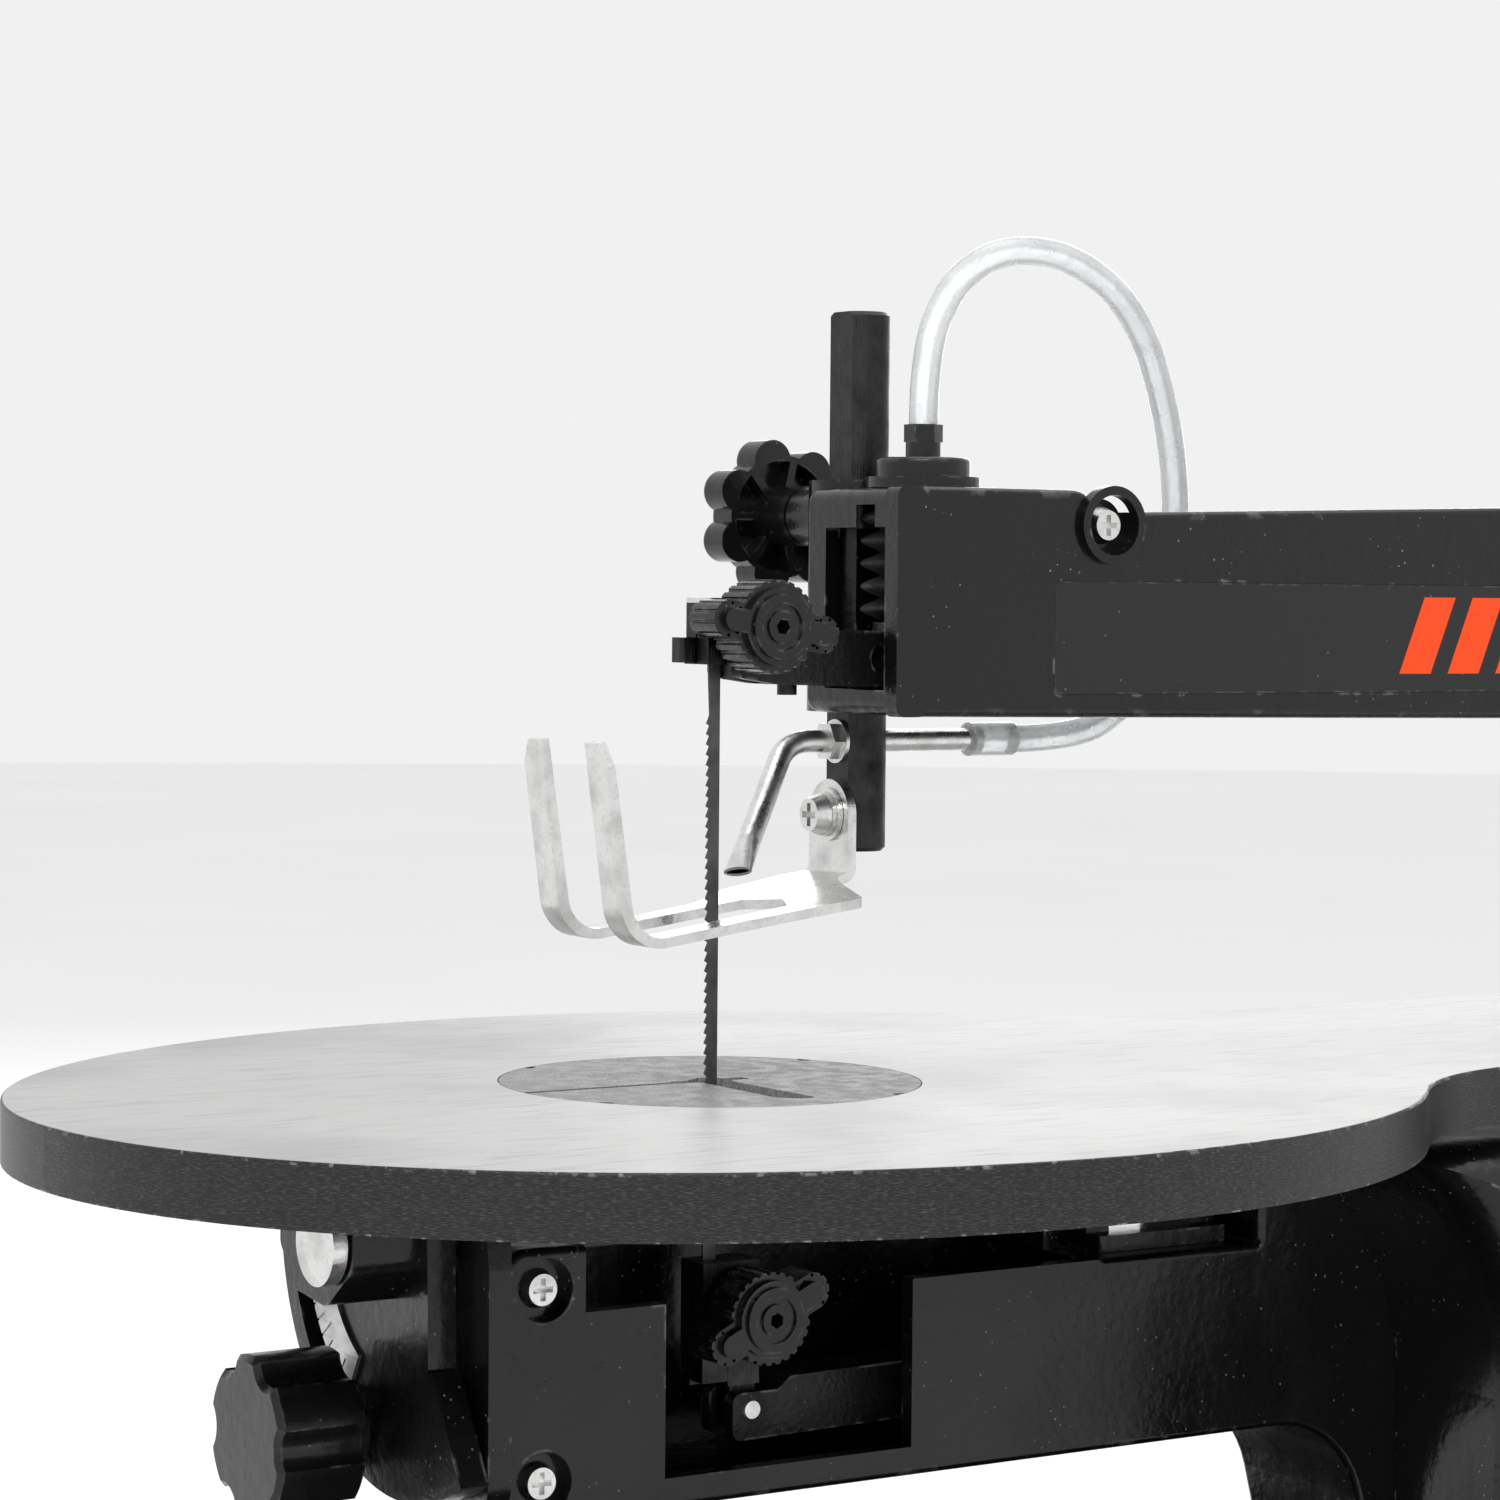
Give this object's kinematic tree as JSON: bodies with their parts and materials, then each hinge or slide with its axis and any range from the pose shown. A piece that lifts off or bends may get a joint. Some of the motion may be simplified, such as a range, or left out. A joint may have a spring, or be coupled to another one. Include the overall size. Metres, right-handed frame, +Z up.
{
  "type": "scroll saw",
  "caption": "Benchtop parallel-arm scroll saw: C-frame, keyhole table tilting left, pinned blade in quick clamps, hold-down foot, air blower hose and side motor.",
  "frame": {"origin": "centre of the four base bolt holes, on the bench plane", "axes": "+Z up, +Y from the operator to the back, +X to the operator's right"},
  "size_m": [0.254, 0.645, 0.3681],
  "materials": {
    "black_casting": "gloss black paint over a casting",
    "cast_arm": "satin black paint",
    "ground_iron": "ground top, dark rim",
    "insert_grey": "matte",
    "zinc_steel": "bright zinc plate",
    "black_oxide": "black oxide",
    "blade_steel": "blued spring steel",
    "machined_steel": "machined",
    "bronze": "sintered bronze",
    "black_plastic": "gloss moulded plastic",
    "satin_plastic": "textured moulded plastic",
    "red_plastic": "gloss moulded plastic",
    "scale_plate": "brushed plate with engraved divisions",
    "black_rubber": "moulded rubber",
    "clear_hose": "milky translucent hose",
    "panel": "gloss black panel with plain orange bars"
  },
  "bodies": {
    "frame": {"base": "black_casting", "rubber_feet": "black_rubber", "frame_right": "black_casting", "frame_left": "black_casting", "pan_screws": "zinc_steel", "flange_screws": "zinc_steel", "arm_panels": "panel", "pivot_pins": "zinc_steel", "motor_housing": "black_casting", "motor_end_cap": "satin_plastic", "motor_can": "machined_steel", "motor_bearings": "machined_steel", "bellows_cap": "black_plastic", "hose_fitting": "black_plastic", "air_bellows": "black_rubber", "air_hose": "clear_hose", "tilt_brackets": "black_casting", "tilt_pins": "zinc_steel", "switch_box": "satin_plastic", "switch_bezel": "satin_plastic", "dust_port": "satin_plastic", "access_cover": "black_casting", "cord_inlet": "satin_plastic"},
    "lower_arm": {"lower_arm": "cast_arm", "lower_pivot_bush": "bronze", "lower_arm_pins": "zinc_steel"},
    "upper_arm": {"upper_arm": "cast_arm", "upper_pivot_bush": "bronze", "upper_holder_pin": "zinc_steel", "arm_set_screw": "black_oxide"},
    "blade_unit": {"blade": "blade_steel", "upper_holder": "black_oxide", "holder_plate": "zinc_steel", "lower_holder": "black_oxide", "clamp_plates": "black_oxide"},
    "upper_thumbscrew": {"upper_thumbscrew": "black_plastic"},
    "lower_thumbscrew": {"lower_thumbscrew": "black_plastic"},
    "rear_link": {"tension_rod": "zinc_steel", "tension_barrel": "zinc_steel"},
    "tension_knob": {"tension_knob": "black_plastic"},
    "crank": {"crankshaft": "machined_steel", "crank_bearing": "machined_steel", "rotor": "machined_steel", "motor_fan": "satin_plastic"},
    "yoke": {"yoke": "cast_arm"},
    "table": {"table": "ground_iron", "table_insert": "insert_grey", "front_trunnion": "black_casting", "rear_trunnion": "black_casting", "bevel_scale": "scale_plate"},
    "bevel_lock_knob": {"bevel_lock_knob": "black_plastic"},
    "hold_down": {"hold_down_rod": "black_oxide", "blower_tube": "zinc_steel", "tube_nut": "zinc_steel", "hose_sleeve": "clear_hose", "foot_fasteners": "zinc_steel"},
    "rod_lock_knob": {"rod_lock_knob": "black_plastic"},
    "foot": {"foot": "zinc_steel"},
    "power_rocker": {"power_rocker": "red_plastic"},
    "speed_dial": {"speed_dial": "black_plastic"}
  },
  "joints": [
    {"name": "crank_turn", "type": "hinge", "parent": "frame", "child": "crank", "pos_m": [0, -0.005, 0.1], "axis": [1, 0, 0], "range_deg": [0, 180]},
    {"name": "lower_arm_rock", "type": "hinge", "parent": "frame", "child": "lower_arm", "pos_m": [0, 0.21, 0.136], "axis": [-1, 0, 0], "range_deg": [0, 1.92]},
    {"name": "upper_arm_rock", "type": "hinge", "parent": "frame", "child": "upper_arm", "pos_m": [0, 0.21, 0.2855], "axis": [-1, 0, 0], "range_deg": [0, 1.92], "deforming": ["air_bellows"]},
    {"name": "blade_stroke", "type": "slide", "parent": "frame", "child": "blade_unit", "axis": [0, 0, 1], "range_m": [0, 0.0141]},
    {"name": "rear_link_slide", "type": "slide", "parent": "frame", "child": "rear_link", "axis": [0, 0, -1], "range_m": [0, 0.00151]},
    {"name": "yoke_swing", "type": "hinge", "parent": "lower_arm", "child": "yoke", "pos_m": [0, -0.005, 0.13244], "axis": [1, 0, 0], "range_deg": [0, 1.92]},
    {"name": "upper_thumbscrew_turn", "type": "hinge", "parent": "blade_unit", "child": "upper_thumbscrew", "pos_m": [0, -0.215, 0.2858], "axis": [1, 0, 0], "range_deg": [0, 180]},
    {"name": "lower_thumbscrew_turn", "type": "hinge", "parent": "blade_unit", "child": "lower_thumbscrew", "pos_m": [0, -0.215, 0.149], "axis": [1, 0, 0], "range_deg": [0, 180]},
    {"name": "tension_knob_turn", "type": "hinge", "parent": "rear_link", "child": "tension_knob", "pos_m": [0, 0.255, 0.33], "axis": [0, 0, 1], "range_deg": [-360, 360]},
    {"name": "table_tilt", "type": "hinge", "parent": "frame", "child": "table", "pos_m": [0, -0.22, 0.169], "axis": [0, -1, 0], "range_deg": [0, 45]},
    {"name": "bevel_lock_turn", "type": "hinge", "parent": "frame", "child": "bevel_lock_knob", "pos_m": [-0.01661, -0.3, 0.12988], "axis": [0, -1, 0], "range_deg": [0, 180]},
    {"name": "hold_down_slide", "type": "slide", "parent": "frame", "child": "hold_down", "axis": [0, 0, 1], "range_m": [-0.027, 0.0015], "deforming": ["air_hose"]},
    {"name": "rod_lock_turn", "type": "hinge", "parent": "frame", "child": "rod_lock_knob", "pos_m": [-0.05, -0.1713, 0.309], "axis": [1, 0, 0], "range_deg": [0, 180]},
    {"name": "foot_pivot", "type": "hinge", "parent": "hold_down", "child": "foot", "pos_m": [-0.021, -0.178, 0.2463], "axis": [0, -1, 0], "range_deg": [0, 20]},
    {"name": "power_switch", "type": "hinge", "parent": "frame", "child": "power_rocker", "pos_m": [0.076, -0.251, 0.075], "axis": [0, -1, 0], "range_deg": [0, 10]},
    {"name": "speed_dial_turn", "type": "hinge", "parent": "frame", "child": "speed_dial", "pos_m": [0.076, -0.224, 0.078], "axis": [0, 0, 1], "range_deg": [0, 270]}
  ],
  "couplings": [
    {"joint": "lower_arm_rock", "follows": "crank_turn", "ratio": 0.010536},
    {"joint": "upper_arm_rock", "follows": "crank_turn", "ratio": 0.010536},
    {"joint": "blade_stroke", "follows": "crank_turn", "m_per_rad": 0.0044563},
    {"joint": "rear_link_slide", "follows": "crank_turn", "m_per_rad": 0.00047408},
    {"joint": "yoke_swing", "follows": "crank_turn", "ratio": 0.010536}
  ]
}
